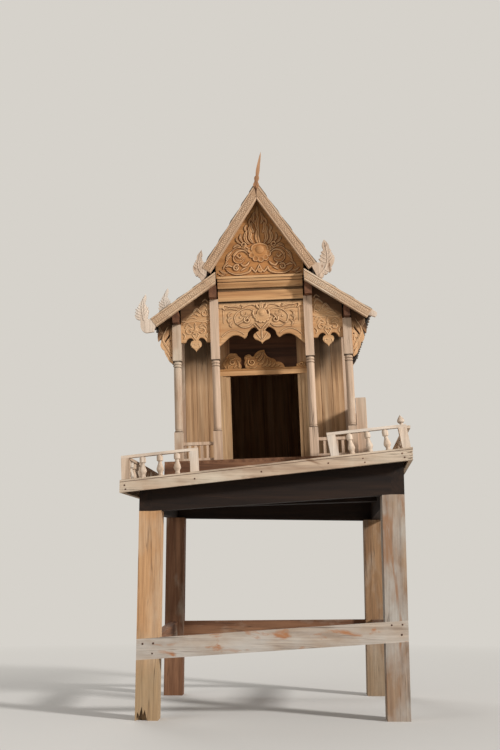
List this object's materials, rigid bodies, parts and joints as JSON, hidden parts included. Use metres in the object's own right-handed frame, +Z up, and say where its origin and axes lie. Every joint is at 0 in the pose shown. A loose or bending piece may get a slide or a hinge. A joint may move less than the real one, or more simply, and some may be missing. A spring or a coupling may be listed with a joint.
{
  "type": "spirit house",
  "caption": "Small carved wooden shrine with a tiered gable roof, porch and doorway, on a railed deck carried by a plain timber stand.",
  "frame": {"origin": "on the ground, under the middle of the deck", "axes": "+Z up, the carved front faces -Y, +X to the right seen from the front"},
  "size_m": [1.273, 1.315, 2.5742],
  "materials": {
    "leg_tan": "tan timber, dry and cracked",
    "leg_grey": "silver-grey weathered timber",
    "frame_wood": "dull brown weathered timber",
    "under_wood": "dark brown timber in the shade",
    "deck_wood": "brown deck boards",
    "bleached_wood": "sun-bleached beige-grey timber",
    "brown_wood": "brown timber",
    "teak": "warm orange-brown carved hardwood",
    "shingle_wood": "weathered wooden shingles",
    "flame_wood": "whitish bleached carved wood"
  },
  "bodies": {
    "root": {"leg_front_left": "leg_tan", "leg_front_right": "leg_grey", "leg_back_left": "frame_wood", "leg_back_right": "frame_wood", "front_stretcher": "leg_grey", "back_stretcher": "frame_wood", "side_stretchers": "frame_wood", "side_bearers": "under_wood", "front_bearer": "under_wood", "back_bearer": "under_wood", "floor_joists": "under_wood", "deck_boards": "deck_wood", "end_fascias": "bleached_wood", "side_fascias": "bleached_wood", "end_lips": "bleached_wood", "side_lips": "bleached_wood", "front_left_railing": "bleached_wood", "front_right_railing": "bleached_wood", "side_railings": "bleached_wood", "back_railing": "bleached_wood", "end_sills": "brown_wood", "side_sills": "brown_wood", "house_floor": "brown_wood", "inner_columns": "bleached_wood", "outer_columns": "bleached_wood", "corner_posts": "bleached_wood", "front_wall_panels": "teak", "over_door_wall": "teak", "back_wall": "teak", "side_walls": "teak", "side_dado": "bleached_wood", "dado_end": "bleached_wood", "door_jambs": "teak", "door_head": "teak", "over_door_board": "teak", "purlins": "teak", "rafters": "under_wood", "clerestory_boards": "teak", "upper_roof_left": "shingle_wood", "upper_roof_right": "shingle_wood", "lower_roofs": "shingle_wood", "ridge_cap": "shingle_wood", "upper_barges": "bleached_wood", "lower_barges": "bleached_wood", "front_beam": "teak", "front_pediment": "teak", "centre_valance": "teak", "side_valances": "teak", "spandrels": "teak", "eave_brackets": "teak", "porch_railings": "bleached_wood", "ridge_horns": "bleached_wood", "gable_flames": "flame_wood", "eave_flames": "flame_wood", "roof_flame": "flame_wood"}
  },
  "joints": []
}
